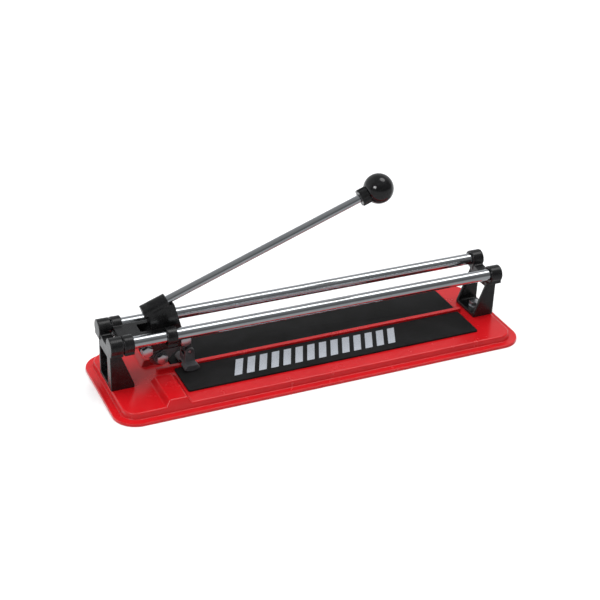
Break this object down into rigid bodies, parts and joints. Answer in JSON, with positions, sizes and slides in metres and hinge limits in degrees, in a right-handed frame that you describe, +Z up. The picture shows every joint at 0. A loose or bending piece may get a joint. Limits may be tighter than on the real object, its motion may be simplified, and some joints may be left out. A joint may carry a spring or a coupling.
{
  "type": "tile cutter",
  "caption": "Manual tile cutter: pressed steel base with padded bed, fence and breaking ridge, twin guide rails, and a sliding lever carriage with scoring wheel and breaking foot.",
  "frame": {"origin": "middle of the base's underside, on the surface it stands on", "axes": "+X along the guide rails away from the fence, +Y to the back, +Z up"},
  "size_m": [0.44, 0.132, 0.1848],
  "materials": {
    "red_enamel": "gloss",
    "black_casting": "satin",
    "grey_casting": "satin",
    "chrome_bar": "polished",
    "zinc_steel": "satin",
    "bed_rubber": "matte",
    "carbide": "ground",
    "black_phenolic": "gloss"
  },
  "bodies": {
    "frame": {"base_plate": "red_enamel", "front_pad": "bed_rubber", "rear_pad": "bed_rubber", "front_rail": "chrome_bar", "rear_rail": "chrome_bar", "left_bracket": "black_casting", "left_bracket_bolt": "zinc_steel", "left_bracket_washer": "zinc_steel", "left_bracket_nut": "zinc_steel", "right_bracket": "black_casting", "right_bracket_bolt": "zinc_steel", "right_bracket_washer": "zinc_steel", "right_bracket_nut": "zinc_steel"},
    "carriage": {"slide_body": "black_casting", "pivot_bolt": "zinc_steel", "pivot_washer": "zinc_steel", "pivot_nut": "zinc_steel"},
    "lever": {"handle_lever": "black_casting", "clamp_bolt": "zinc_steel", "clamp_nut": "zinc_steel", "wheel_arm": "grey_casting", "wheel_axle_bolt": "zinc_steel", "wheel_axle_nut": "zinc_steel", "foot_pin": "zinc_steel", "handle_rod": "chrome_bar", "knob_collar": "black_phenolic", "ball_knob": "black_phenolic"},
    "wheel": {"scoring_wheel": "carbide"},
    "foot": {"breaker_foot": "grey_casting"}
  },
  "joints": [
    {"name": "carriage_travel", "type": "slide", "parent": "frame", "child": "carriage", "axis": [1, 0, 0], "range_m": [0, 0.3]},
    {"name": "lever_lift", "type": "hinge", "parent": "carriage", "child": "lever", "pos_m": [-0.173, 0.006, 0.0425], "axis": [0, -1, 0], "range_deg": [0, 25]},
    {"name": "wheel_spin", "type": "hinge", "parent": "lever", "child": "wheel", "pos_m": [-0.156, 0.006, 0.0275], "axis": [0, 1, 0], "continuous": true},
    {"name": "foot_swing", "type": "hinge", "parent": "lever", "child": "foot", "pos_m": [-0.1275, 0.006, 0.0285], "axis": [0, 1, 0], "range_deg": [-20, 20]}
  ]
}
